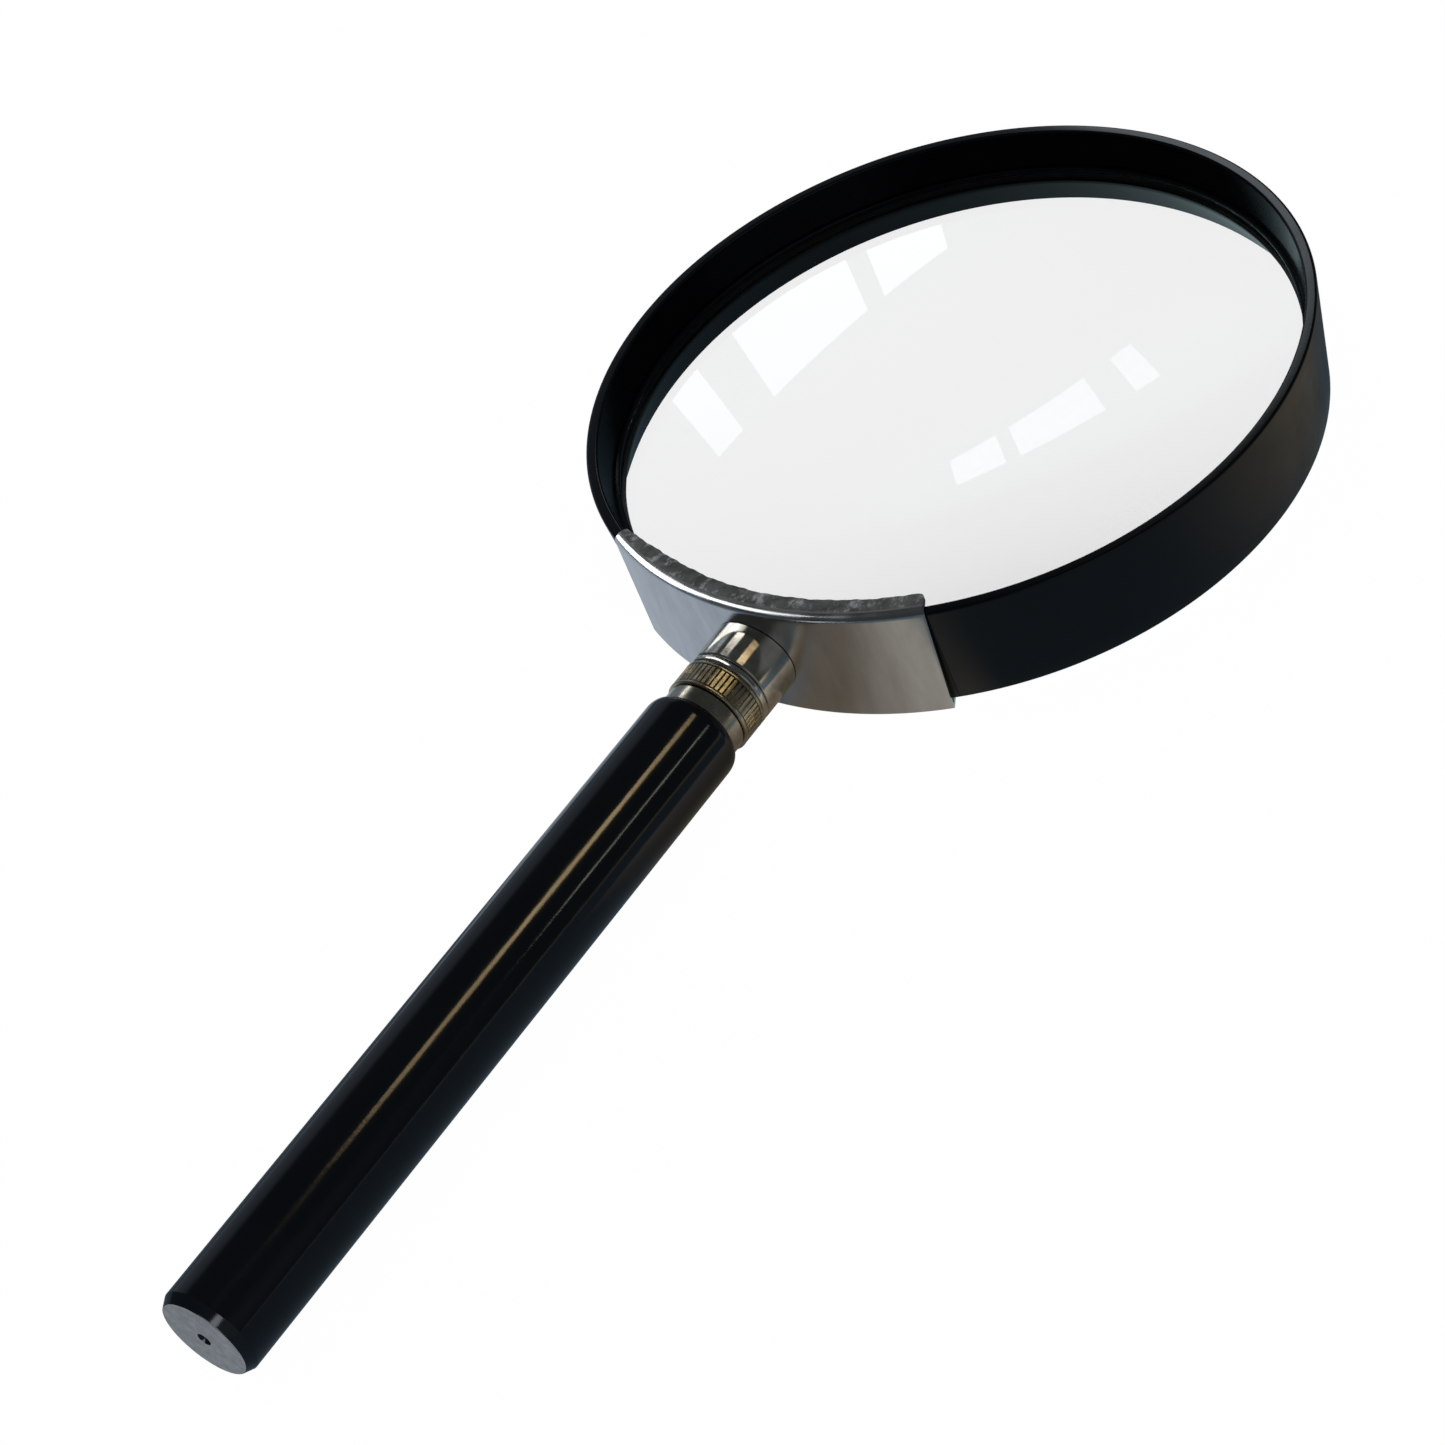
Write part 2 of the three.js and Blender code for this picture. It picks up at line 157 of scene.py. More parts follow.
def made_object(name, mesh, weighted=True):
    """An object from a bmesh, smooth except at sharp edges."""
    bmesh.ops.recalc_face_normals(mesh, faces=mesh.faces)
    data = bpy.data.meshes.new(name)
    mesh.to_mesh(data)
    mesh.free()
    data.shade_smooth()
    data.set_sharp_from_angle(angle=SHARP)
    made = bpy.data.objects.new(name, data)
    bpy.context.scene.collection.objects.link(made)
    if weighted:
        weigh_normals(made)
    return made


def weigh_normals(piece):
    """Keeps wide faces flat beside narrow roundings."""
    weigh = piece.modifiers.new("weigh_normals", "WEIGHTED_NORMAL")
    weigh.keep_sharp = True


def even_turn(sides):
    """Angles at equal steps round a full turn."""
    return [math.tau * i / sides for i in range(sides)]


def turned(name, outline, angles, place, relief=None, weighted=True):
    """A closed outline of (radius, height) turned a full turn. relief(radius, angle, height) reshapes it."""
    mesh = bmesh.new()
    rings = []
    for radius, height in outline:
        ring = []
        for angle in angles[:1] if radius < ON_AXIS else angles:
            shaped = relief(radius, angle, height) if relief else (radius, height)
            ring.append(mesh.verts.new(place(shaped[0], angle, shaped[1])))
        rings.append(ring)
    for near, far in zip(rings, rings[1:] + rings[:1]):
        bridge(mesh, near, far, len(angles))
    return made_object(name, mesh, weighted)


def swept(name, outline, angles, place):
    """A closed outline swept through a list of angles, with a flat cap at each end."""
    mesh = bmesh.new()
    rings = [[mesh.verts.new(place(r, angle, h)) for r, h in outline] for angle in angles]
    for near, far in zip(rings, rings[1:]):
        bridge(mesh, near, far, len(outline))
    mesh.faces.new(rings[0])
    mesh.faces.new(rings[-1])
    return made_object(name, mesh)


def keep_modifiers(piece):
    """Replaces a piece's mesh by what its modifiers make of it."""
    evaluated = piece.evaluated_get(bpy.context.evaluated_depsgraph_get())
    result = bpy.data.meshes.new_from_object(evaluated)
    piece.modifiers.clear()
    piece.data = result


def cut(piece, *cutters):
    """Cuts each cutter out of a piece and removes the cutter."""
    for cutter in cutters:
        boolean = piece.modifiers.new("cut", "BOOLEAN")
        boolean.operation = "DIFFERENCE"
        boolean.solver = "EXACT"
        boolean.object = cutter
    keep_modifiers(piece)
    for cutter in cutters:
        bpy.data.objects.remove(cutter)


def rod(name, radius, start, end):
    """A plain rod on the handle's axis, used as a cutter."""
    outline = [(0, start), (radius, start), (radius, end), (0, end)]
    return turned(name, outline, even_turn(48), lengthwise, weighted=False)


def fit(piece, node, body, slot, *materials):
    """Makes a piece stand for a CAD node, ride on its body and take its materials."""
    piece.data.materials.clear()
    for material in materials:
        piece.data.materials.append(material)
    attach(piece, body)
    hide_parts(node)


def paint(piece, index, chosen):
    """Gives the faces for which chosen(centre, normal) is true another of the piece's materials."""
    for face in piece.data.polygons:
        if chosen(face.center / MM, face.normal):
            face.material_index = index


# ---- Materials -----------------------------------------------------------------------------------------


class Finish:
    """A material with a Principled shader and short ways to add nodes to it."""

    def __init__(self, name, **values):
        self.material = bpy.data.materials.new(name)
        self.material.use_nodes = True
        self.tree = self.material.node_tree
        self.shader = self.tree.nodes["Principled BSDF"]
        for socket, value in values.items():
            self.shader.inputs[socket.replace("_", " ")].default_value = value

    def node(self, kind, sockets=None, **settings):
        node = self.tree.nodes.new(kind)
        for key, value in settings.items():
            setattr(node, key, value)
        for socket, value in (sockets or {}).items():
            if isinstance(value, bpy.types.NodeSocket):
                self.tree.links.new(value, node.inputs[socket])
            else:
                node.inputs[socket].default_value = value
        return node

    def place(self):
        """The point's place in the part's frame, in metres."""
        return self.node("ShaderNodeTexCoord").outputs["Object"]

    def maths(self, operation, first, second=0.0):
        return self.node("ShaderNodeMath", {0: first, 1: second}, operation=operation).outputs[0]

    def stretched(self, scale, place=None):
        """Texture coordinates multiplied along each axis."""
        node = self.node("ShaderNodeMapping", {"Vector": place or self.place(), "Scale": scale})
        return node.outputs["Vector"]

    def noise(self, scale, detail=3.0, roughness=0.5, place=None):
        sockets = {"Vector": place or self.place(), "Scale": scale}
        sockets.update({"Detail": detail, "Roughness": roughness})
        return self.node("ShaderNodeTexNoise", sockets).outputs["Fac"]

    def spread(self, value, low, high, from_low=0.3, from_high=0.7):
        """Maps a value's range to low..high."""
        sockets = {"Value": value, "From Min": from_low, "From Max": from_high}
        sockets.update({"To Min": low, "To Max": high})
        return self.node("ShaderNodeMapRange", sockets).outputs["Result"]

    def between(self, factor, first, second):
        """A colour mixed from two by a factor."""
        mix = self.node("ShaderNodeMix", data_type="RGBA")
        self.tree.links.new(factor, mix.inputs["Factor"])
        for socket, colour in (("A", first), ("B", second)):
            target = [i for i in mix.inputs if i.name == socket and i.type == "RGBA"][0]
            if isinstance(colour, bpy.types.NodeSocket):
                self.tree.links.new(colour, target)
            else:
                target.default_value = (*colour, 1)
        return [o for o in mix.outputs if o.type == "RGBA"][0]

    def colour(self, socket):
        self.tree.links.new(socket, self.shader.inputs["Base Color"])

    def roughness(self, socket):
        self.tree.links.new(socket, self.shader.inputs["Roughness"])

    def bumps(self, *layers):
        """Layers of (height, distance in millimetres, strength), one bump on another."""
        normal = None
        for height, distance, strength in layers:
            sockets = {"Height": height, "Distance": distance * MM, "Strength": strength}
            if normal is not None:
                sockets["Normal"] = normal
            normal = self.node("ShaderNodeBump", sockets).outputs["Normal"]
        self.tree.links.new(normal, self.shader.inputs["Normal"])

    def polar(self, around_handle=False):
        """Angle in turns, distance from the axis and place along it, round the band or the handle."""
        axes = self.node("ShaderNodeSeparateXYZ", {"Vector": self.place()})
        x, y, z = axes.outputs
        if around_handle:
            first, second, third = x, self.maths("SUBTRACT", z, AXIS_Z * MM), y
        else:
            first, second, third = x, self.maths("SUBTRACT", y, BAND_Y * MM), z
        angle = self.maths("DIVIDE", self.maths("ARCTAN2", first, second), math.tau)
        squares = [self.maths("MULTIPLY", side, side) for side in (first, second)]
        return angle, self.maths("SQRT", self.maths("ADD", *squares)), third

    def vector(self, x, y, z):
        return self.node("ShaderNodeCombineXYZ", {"X": x, "Y": y, "Z": z}).outputs["Vector"]


def black_plastic(name, colour, gloss, grain, specular):
    """Moulded black plastic: a fine grain, faint wiping marks and a few dull patches."""
    made = Finish(name, Specular_IOR_Level=specular, IOR=1.49)
    marks = made.noise(60, 4, 0.6)
    made.colour(made.between(made.spread(marks, 0, 1), colour, [c * 1.5 for c in colour]))
    made.roughness(made.spread(made.noise(140, 5, 0.6), gloss * 0.85, gloss * 1.2))
    made.bumps((made.noise(2600, 2), 0.02, grain), (made.noise(220, 2), 0.05, grain * 0.5))
    return made.material


def handle_gloss():
    """Polished black rod: lengthwise ripple from turning and polishing, with a fine orange peel."""
    made = Finish("handle_gloss", Specular_IOR_Level=0.5, IOR=1.5)
    shade = made.spread(made.noise(90, 4), 0, 1)
    made.colour(made.between(shade, (0.0025, 0.0042, 0.0068), (0.0040, 0.0056, 0.0080)))
    smear = made.noise(1, 4, 0.6, made.stretched((420, 45, 420)))
    made.roughness(made.spread(smear, 0.07, 0.15))
    peel = made.noise(900, 3, 0.55)
    ripple = made.noise(1, 2, 0.5, made.stretched((900, 160, 900)))
    made.bumps((peel, 0.03, 0.22), (ripple, 0.05, 0.14))
    return made.material


def handle_end():
    """Sawn and faced end of the rod: matt, greyed, with turning rings."""
    made = Finish("handle_end", Specular_IOR_Level=0.4)
    angle, distance, height = made.polar(around_handle=True)
    rings = made.noise(1, 2, 0.5, made.vector(made.maths("MULTIPLY", distance, 4200.0), 0.0, 0.0))
    dust = made.noise(900, 4, 0.6)
    made.colour(made.between(made.spread(dust, 0, 1), (0.25, 0.255, 0.26), (0.36, 0.365, 0.37)))
    made.roughness(made.spread(made.noise(1200, 3), 0.5, 0.75))
    made.bumps((rings, 0.03, 0.5), (dust, 0.03, 0.3))
    return made.material


def saddle_steel():
    """Cold-rolled steel strip: satin, with a faint grain along the strip and soft upright clouds."""
    made = Finish("saddle_steel", Metallic=1.0)
    angle, distance, height = made.polar()

    def wrapped(round_it, along):
        turned_by, raised = made.maths("MULTIPLY", angle, round_it), made.maths("MULTIPLY", height, along)
        return made.vector(turned_by, 0.0, raised)

    grain = made.noise(1, 3, 0.6, wrapped(30.0, 5200.0))
    cloud = made.noise(1, 4, 0.6, wrapped(110.0, 90.0))
    made.colour(made.between(made.spread(cloud, 0, 1), (0.52, 0.52, 0.515), (0.64, 0.645, 0.65)))
    made.roughness(made.spread(made.noise(260, 4, 0.6), 0.16, 0.27))
    made.bumps((grain, 0.02, 0.25), (made.noise(1500, 3), 0.02, 0.14))
    return made.material


def lip_steel():
    """The saddle's filed lip: darker as painted shade, with short bright scratches across it and small pits.
    """
    made = Finish("lip_steel", Metallic=1.0)
    angle, distance, height = made.polar()
    round_it, inward = made.maths("MULTIPLY", angle, 170.0), made.maths("MULTIPLY", distance, 350.0)
    scratches = made.noise(1, 4, 0.7, made.vector(round_it, inward, height))
    fine = made.noise(2300, 4, 0.7)
    worn = made.spread(scratches, 0, 1, 0.52, 0.64)
    # Random mottling like tarnish, set darker overall than the wall's steel as painted shade of the top
    # face.
    tarnish_and_painted_shade = made.between(made.spread(made.noise(500, 4), 0, 1), (0.20, 0.195, 0.18), (0.42, 0.41, 0.385))
    made.colour(made.between(worn, tarnish_and_painted_shade, (0.95, 0.95, 0.94)))
    made.roughness(made.spread(fine, 0.26, 0.48))
    made.bumps((scratches, 0.10, 1.0), (fine, 0.04, 0.6))
    return made.material


def plated(name, clean, tired, gloss, lines, grain=0.15):
    """Nickel or zinc plate over a turned piece: lathe lines round it, faint stains and soft dents."""
    made = Finish(name, Metallic=1.0)
    angle, distance, height = made.polar(around_handle=True)
    round_it, along = made.maths("MULTIPLY", angle, 3.0), made.maths("MULTIPLY", height, lines)
    turning = made.noise(1, 3, 0.6, made.vector(round_it, 0.0, along))
    stains = made.noise(420, 5, 0.62)
    made.colour(made.between(made.spread(stains, 0, 1, 0.4, 0.62), clean, tired))
    made.roughness(made.spread(made.noise(900, 4, 0.6), gloss * 0.7, gloss * 1.5))
    made.bumps((turning, 0.02, grain), (made.noise(380, 2), 0.05, grain))
    return made.material


def optical_glass():
    """Clear crown glass with a few faint smears. Shadow rays pass straight through."""
    made = Finish("optical_glass", IOR=1.52, Transmission_Weight=1.0, Base_Color=(0.985, 0.99, 0.985, 1))
    made.roughness(made.spread(made.noise(45, 5, 0.6), 0.0, 0.012, 0.45, 0.75))
    clear = made.node("ShaderNodeBsdfTransparent", {"Color": (0.93, 0.935, 0.93, 1)})
    shadow = made.node("ShaderNodeLightPath").outputs["Is Shadow Ray"]
    both = made.node("ShaderNodeMixShader", {0: shadow, 1: made.shader.outputs[0], 2: clear.outputs[0]})
    made.tree.links.new(both.outputs[0], made.tree.nodes["Material Output"].inputs["Surface"])
    return made.material


BAND_GLOSS = black_plastic("band_gloss", (0.002, 0.0035, 0.0055), 0.14, 0.10, 0.5)
BAND_SATIN = black_plastic("band_satin", (0.004, 0.0055, 0.006), 0.34, 0.30, 0.42)
RING_PLASTIC = black_plastic("ring_plastic", (0.003, 0.004, 0.005), 0.25, 0.15, 0.5)
HANDLE_GLOSS = handle_gloss()
HANDLE_END = handle_end()
SADDLE_STEEL = saddle_steel()
# The lip steel's darker tone is painted shade of the saddle's top face.
LIP_STEEL = lip_steel()
SLEEVE_NICKEL = plated("sleeve_nickel", (0.74, 0.71, 0.65), (0.58, 0.52, 0.42), 0.10, 9000, 0.16)
WASHER_STEEL = plated("washer_steel", (0.80, 0.79, 0.76), (0.62, 0.58, 0.50), 0.14, 9000)
COLLAR_NICKEL = plated("collar_nickel", (0.66, 0.60, 0.47), (0.48, 0.40, 0.27), 0.20, 7000)
FERRULE_NICKEL = plated("ferrule_nickel", (0.62, 0.58, 0.50), (0.46, 0.41, 0.32), 0.22, 9000, 0.22)
STUD_STEEL = plated("stud_steel", (0.56, 0.56, 0.55), (0.40, 0.39, 0.37), 0.26, 6000)
BRASS = plated("brass", (0.62, 0.45, 0.19), (0.44, 0.31, 0.13), 0.28, 7000)
OPTICAL_GLASS = optical_glass()
GROUND_EDGE = black_plastic("ground_edge", (0.014, 0.0125, 0.0065), 0.6, 0.3, 0.3)


# ---- Head ----------------------------------------------------------------------------------------------

BAND_BOTTOM_RADIUS = 51.4
GAP = 0.1
RING_SIDES = 288
NECK_SIDES = 96
LEDGE_RADIUS = 49.3
LEDGE_DEPTH = 1
SKIRT_RADIUS = 50.7
MOUTH_RADIUS = 51.3
WALL_RADIUS = 50.4
SEAT_RADIUS = 52.3  # outside of the band where the saddle lies
SEAT_HALF_ANGLE = math.radians(30.05)
SEAT_FOOT_HALF_ANGLE = math.radians(29.05)  # at the foot of the wall, where the seat stands proud
SEAT_STEP = math.radians(0.1)  # width of the step at each end of the seat
WALL_SKIN = 0.45  # how deep below the wall's outside the seat reshapes it

LENS_LOW, LENS_HIGH = node_box("lens")
LENS_RADIUS = (LENS_HIGH.x - LENS_LOW.x) / 2
LENS_EDGE = 3
LENS_BULGE = (LENS_HIGH.z - LENS_LOW.z - LENS_EDGE) / 2
LENS_EDGE_BOTTOM = LENS_LOW.z + LENS_BULGE
LENS_EDGE_TOP = LENS_EDGE_BOTTOM + LENS_EDGE

RETAINER_LOW, RETAINER_HIGH = node_box("lens_retaining_ring")
RETAINER_OUTER = (RETAINER_HIGH.x - RETAINER_LOW.x) / 2
RETAINER_INNER = 49.75
RETAINER_SPLIT = 3

SADDLE_TOP = node_box("saddle_plate")[1].z
SHEET = 0.7
SADDLE_INSIDE = SEAT_RADIUS + GAP
SADDLE_OUTSIDE = SADDLE_INSIDE + SHEET
SADDLE_HALF_ANGLE = math.radians(29.9)
LIP_RADIUS = 49.6
FOLD_RADIUS = 1.2

TENON_RADIUS = 2
POCKET_RADIUS = 3.1
POCKET_FLOOR = 51.15


def lens_rise(r):
    """Rise of a lens face above its edge, at a distance from the lens's centre."""
    face_radius = (LENS_RADIUS**2 + LENS_BULGE**2) / (2 * LENS_BULGE)
    return LENS_BULGE - face_radius + math.sqrt(face_radius**2 - r**2)


def rim_band():
    """Tapered band, upright outside where the saddle lies, with a pocket there for the bush's tenon."""
    groove = RETAINER_OUTER + GAP
    groove_top = RETAINER_HIGH.z + GAP
    outline = rounded([
        (SKIRT_RADIUS, BAND_BOTTOM, 0.1),
        (BAND_BOTTOM_RADIUS, BAND_BOTTOM, 0.4),
        (BAND_TOP_RADIUS, BAND_TOP, 0.4),
        (MOUTH_RADIUS, BAND_TOP, 0.35),
        (WALL_RADIUS, groove_top, 0.1),
        (groove, groove_top, 0),
        (groove, LENS_EDGE_TOP + GAP, 0),
        (LENS_RADIUS + GAP, LENS_EDGE_TOP, 0),
        (LENS_RADIUS + GAP, LENS_EDGE_BOTTOM - GAP, 0),
        (LEDGE_RADIUS, LENS_EDGE_BOTTOM - lens_rise(LEDGE_RADIUS) - GAP, 0.1),
        (LEDGE_RADIUS, LENS_EDGE_BOTTOM - LEDGE_DEPTH, 0.2),
    ])
    slope = (BAND_TOP_RADIUS - BAND_BOTTOM_RADIUS) / (BAND_TOP - BAND_BOTTOM)
    ends = (SEAT_HALF_ANGLE, SEAT_FOOT_HALF_ANGLE)
    limits = [limit + extra for limit in ends for extra in (0, SEAT_STEP)]
    steps = [sign * limit for sign in (-1, 1) for limit in limits]
    angles = sorted(even_turn(RING_SIDES) + [angle % math.tau for angle in steps])

    def seat(radius, angle, height):
        """Straightens the outside of the wall within the seat."""
        from_middle = min(angle, math.tau - angle)
        wall = BAND_BOTTOM_RADIUS + slope * (height - BAND_BOTTOM)
        limit = SEAT_HALF_ANGLE if wall > SEAT_RADIUS else SEAT_FOOT_HALF_ANGLE
        share = min(1, max(0, (limit + SEAT_STEP - from_middle) / SEAT_STEP))
        if radius < wall - WALL_SKIN:
            return radius, height
        return radius + (SEAT_RADIUS - wall) * share, height

    piece = turned("rim_band_fine", outline, angles, upright, seat, weighted=False)
    cut(piece, rod("pocket", POCKET_RADIUS, POCKET_FLOOR, BAND_TOP_RADIUS + 2))
    weigh_normals(piece)
    fit(piece, "rim_band", "head", "band_plastic", BAND_GLOSS, BAND_SATIN)

    outside_from = (BAND_BOTTOM_RADIUS + BAND_TOP_RADIUS) / 2 - 1.2  # between the two sides of the wall

    def outside(centre, normal):
        return math.hypot(centre.x, centre.y - BAND_Y) > outside_from and abs(normal.z) < 0.3

    paint(piece, 1, outside)


def lens():
    """Biconvex lens, clear but for its ground edge."""
    rings = 40
    radii = [LENS_RADIUS * i / rings for i in range(rings)]
    above = [(r, LENS_EDGE_TOP + lens_rise(r), 0) for r in radii]
    below = [(r, LENS_EDGE_BOTTOM - lens_rise(r), 0) for r in radii]
    rim = [(LENS_RADIUS, LENS_EDGE_BOTTOM, 0.15), (LENS_RADIUS, LENS_EDGE_TOP, 0.15)]
    outline = rounded([*below, *rim, *above[::-1]], 3)
    piece = turned("lens_fine", outline, even_turn(RING_SIDES), upright)
    fit(piece, "lens", "head", "lens_glass", OPTICAL_GLASS, GROUND_EDGE)

    def ground(centre, normal):
        return abs(normal.z) < 0.5

    paint(piece, 1, ground)


def lens_retaining_ring():
    """Spring ring above the lens, split where the saddle's lip covers it."""
    bottom, top = RETAINER_LOW.z, RETAINER_HIGH.z
    outline = rounded([
        (RETAINER_OUTER, bottom, 0.1),
        (RETAINER_OUTER, top, 0.15),
        (RETAINER_INNER, top, 0.2),
        (RETAINER_INNER, bottom + lens_rise(RETAINER_INNER), 0.1),
    ])
    opening = RETAINER_SPLIT / LENS_RADIUS
    reach = math.tau - opening
    angles = [opening / 2 + reach * i / RING_SIDES for i in range(RING_SIDES + 1)]
    piece = swept("lens_retaining_ring_fine", outline, angles, upright)
    fit(piece, "lens_retaining_ring", "head", "retainer_plastic", RING_PLASTIC)


def saddle_section():
    """The folded sheet, bottom lip to top lip, as (outer point, inner point, way in along a lip)."""
    fold_centre = SADDLE_OUTSIDE - FOLD_RADIUS
    inner_fold = FOLD_RADIUS - SHEET
    lip_steps, fold_steps, wall_steps = 12, 10, 24
    low, high = FOLD_RADIUS, SADDLE_TOP - FOLD_RADIUS
    section = []

    def add_lip(inward, outer_height, inner_height):
        radius = fold_centre + (LIP_RADIUS - fold_centre) * inward
        section.append(((radius, outer_height), (radius, inner_height), inward))

    def add_fold(height, start):
        for i in range(fold_steps + 1):
            angle = math.radians(start + 90 * i / fold_steps)
            across, rise = math.cos(angle), math.sin(angle)
            outer = (fold_centre + FOLD_RADIUS * across, height + FOLD_RADIUS * rise)
            inner = (fold_centre + inner_fold * across, height + inner_fold * rise)
            section.append((outer, inner, 0))

    for i in range(lip_steps):
        add_lip(1 - i / lip_steps, 0, SHEET)
    add_fold(low, -90)
    for i in range(1, wall_steps):
        height = low + (high - low) * i / wall_steps
        section.append(((SADDLE_OUTSIDE, height), (SADDLE_INSIDE, height), 0))
    add_fold(high, 0)
    for i in range(1, lip_steps + 1):
        add_lip(i / lip_steps, SADDLE_TOP, SADDLE_TOP - SHEET)
    return section


SIDE_LEAN = math.radians(0.8)  # how much less of the band the strip covers at its bottom
LIP_TAPER = 1.2  # how much narrower the top lip is at its -X end
LIP_TAPER_REACH = math.radians(14)
LIP_CORNER = math.radians(1.1)
CORNER_FROM = 0.6  # share of a lip's width after which its corners round off


def filed_back(angle, inward):
    """How far back the filed edge of the top lip lies, at an angle round the band."""
    ragged = 0.05 * math.sin(71 * angle) + 0.04 * math.sin(163 * angle + 1)
    ragged += 0.03 * math.sin(37 * angle)
    from_end = (angle + SADDLE_HALF_ANGLE) / LIP_TAPER_REACH
    return inward * (ragged + LIP_TAPER * max(0, 1 - from_end) ** 1.5)


def saddle_plate():
    """Strip folded over the band's top and under its bottom, its top lip filed unevenly."""
    columns = 120
    mesh = bmesh.new()
    outer_rows, inner_rows = [], []
    for outer, inner, inward in saddle_section():
        rows = [], []
        on_top = outer[1] > AXIS_Z
        reach = SADDLE_HALF_ANGLE - SIDE_LEAN * (1 - outer[1] / SADDLE_TOP)
        if inward > CORNER_FROM:
            into_corner = (inward - CORNER_FROM) / (1 - CORNER_FROM)
            reach -= LIP_CORNER * (1 - math.sqrt(1 - into_corner**2))
        for column in range(columns + 1):
            angle = (2 * column / columns - 1) * reach
            back = filed_back(angle, inward) if on_top else 0
            for row, (radius, height) in zip(rows, (outer, inner)):
                row.append(mesh.verts.new(upright(radius + back, angle, height)))
        outer_rows.append(rows[0])
        inner_rows.append(rows[1])
    for near, far in zip(outer_rows, outer_rows[1:]):
        strip_faces(mesh, near, far)
    for near, far in zip(inner_rows, inner_rows[1:]):
        strip_faces(mesh, near, far)
    strip_faces(mesh, outer_rows[0], inner_rows[0])
    strip_faces(mesh, outer_rows[-1], inner_rows[-1])
    for end in (0, -1):
        strip_faces(mesh, [row[end] for row in outer_rows], [row[end] for row in inner_rows])
    piece = made_object("saddle_plate_fine", mesh, weighted=False)
    cut(piece, rod("tenon_hole", TENON_RADIUS + GAP, POCKET_FLOOR, BAND_TOP_RADIUS + 3))
    ease = piece.modifiers.new("ease_edges", "BEVEL")
    ease.width = 0.1 * MM
    ease.segments = 3
    ease.limit_method = "ANGLE"
    ease.angle_limit = math.radians(50)
    keep_modifiers(piece)
    piece.data.shade_smooth()
    piece.data.set_sharp_from_angle(angle=SHARP)
    weigh_normals(piece)
    fit(piece, "saddle_plate", "head", "saddle_steel", SADDLE_STEEL, LIP_STEEL)

    def lip(centre, normal):
        reach = math.hypot(centre.x, centre.y - BAND_Y)
        return centre.z > SADDLE_TOP - SHEET - 0.1 and reach < SADDLE_OUTSIDE - FOLD_RADIUS

    # The top lip takes the lip steel, whose darker tone is painted shade.
    paint(piece, 1, lip)


def against_saddle(clearance):
    """A relief that keeps a piece's near end off the saddle's curved face."""

    def relief(radius, angle, s):
        face = math.sqrt(SADDLE_OUTSIDE**2 - (radius * math.sin(angle)) ** 2)
        return radius, max(s, face + clearance)

    return relief


# ---- Neck ----------------------------------------------------------------------------------------------

SLEEVE_START, SLEEVE_END, SLEEVE_RADIUS = along_handle("socket_sleeve")
WASHER_START, WASHER_END, WASHER_RADIUS = along_handle("thrust_washer")
COLLAR_START, COLLAR_END, COLLAR_RADIUS = along_handle("knurled_collar")
FERRULE_START, SPIGOT_END, FERRULE_RADIUS = along_handle("handle_ferrule")
GRIP_START, GRIP_END, GRIP_RADIUS = along_handle("handle_grip")
STUD_START, STUD_END, STUD_RADIUS = along_handle("handle_stud")
BUSH_END = along_handle("threaded_bush")[1]
FERRULE_END = GRIP_START - GAP
SLEEVE_BORE = 5.5
STUD_BORE = STUD_RADIUS + GAP
SPIGOT_RADIUS = 4.6

PITCH = 1
THREAD_DEPTH = 0.55
THREAD_STEPS = 10  # rows of vertices in one pitch
POINT = 0.6  # chamfer of the stud's tip and of the bush's mouth

RIBS = 54
RIB_DEPTH = 0.3
RIB_HEIGHT = RIB_DEPTH * 0.95  # the ribs stay just under the collar's lips
RIB_STEPS = 10  # vertices round one rib


def thread_height(angle, s):
    """0 at the root and 1 at the crest of a right-hand thread."""
    phase = (s / PITCH + angle / math.tau) % 1
    slope = abs(2 * phase - 1)
    return min(1, max(0, (slope - 0.15) / 0.7))


def socket_sleeve():
    """Plated tube whose near end follows the saddle's curve."""
    start = SLEEVE_START - 1
    outline = rounded([
        (SLEEVE_BORE, start, 0),
        (SLEEVE_RADIUS, start, 0),
        (SLEEVE_RADIUS, SLEEVE_END, 0.3),
        (SLEEVE_BORE, SLEEVE_END, 0.12),
    ])
    piece = turned("socket_sleeve_fine", outline, even_turn(NECK_SIDES), lengthwise, against_saddle(GAP))
    fit(piece, "socket_sleeve", "head", "neck_nickel", SLEEVE_NICKEL)


def threaded_bush():
    """Tapped bush with a tenon through the saddle, riveted over inside the band's pocket."""
    inside = SEAT_RADIUS - 0.05
    bottom = STUD_START - 2 * GAP
    outer = SLEEVE_BORE - GAP
    rows = int((BUSH_END - bottom) * THREAD_STEPS)
    bore = [(STUD_BORE, BUSH_END + (bottom - BUSH_END) * i / rows) for i in range(rows + 1)]
    shell = rounded([
        (0, inside - 0.75, 0),
        (TENON_RADIUS + 0.8, inside - 0.7, 0.25),
        (TENON_RADIUS + 0.8, inside - 0.25, 0.1),
        (TENON_RADIUS, inside - 0.25, 0),
        (TENON_RADIUS, inside + 0.2, 0),
        (outer, inside + 0.2, 0),
        (outer, BUSH_END, 0.2),
        (STUD_BORE + POINT, BUSH_END, 0.05),
    ])
    cleared = against_saddle(GAP)

    def relief(radius, angle, s):
        if radius == STUD_BORE:
            tapped = STUD_BORE - THREAD_DEPTH * (1 - thread_height(angle, s))
            return max(tapped, STUD_BORE + POINT - (BUSH_END - s)), s
        if s > inside and radius > TENON_RADIUS:
            return cleared(radius, angle, s)
        return radius, s

    outline = [*shell, *bore, (0, bottom)]
    piece = turned("threaded_bush_fine", outline, even_turn(NECK_SIDES), lengthwise, relief, False)
    fit(piece, "threaded_bush", "head", "bush_brass", BRASS)


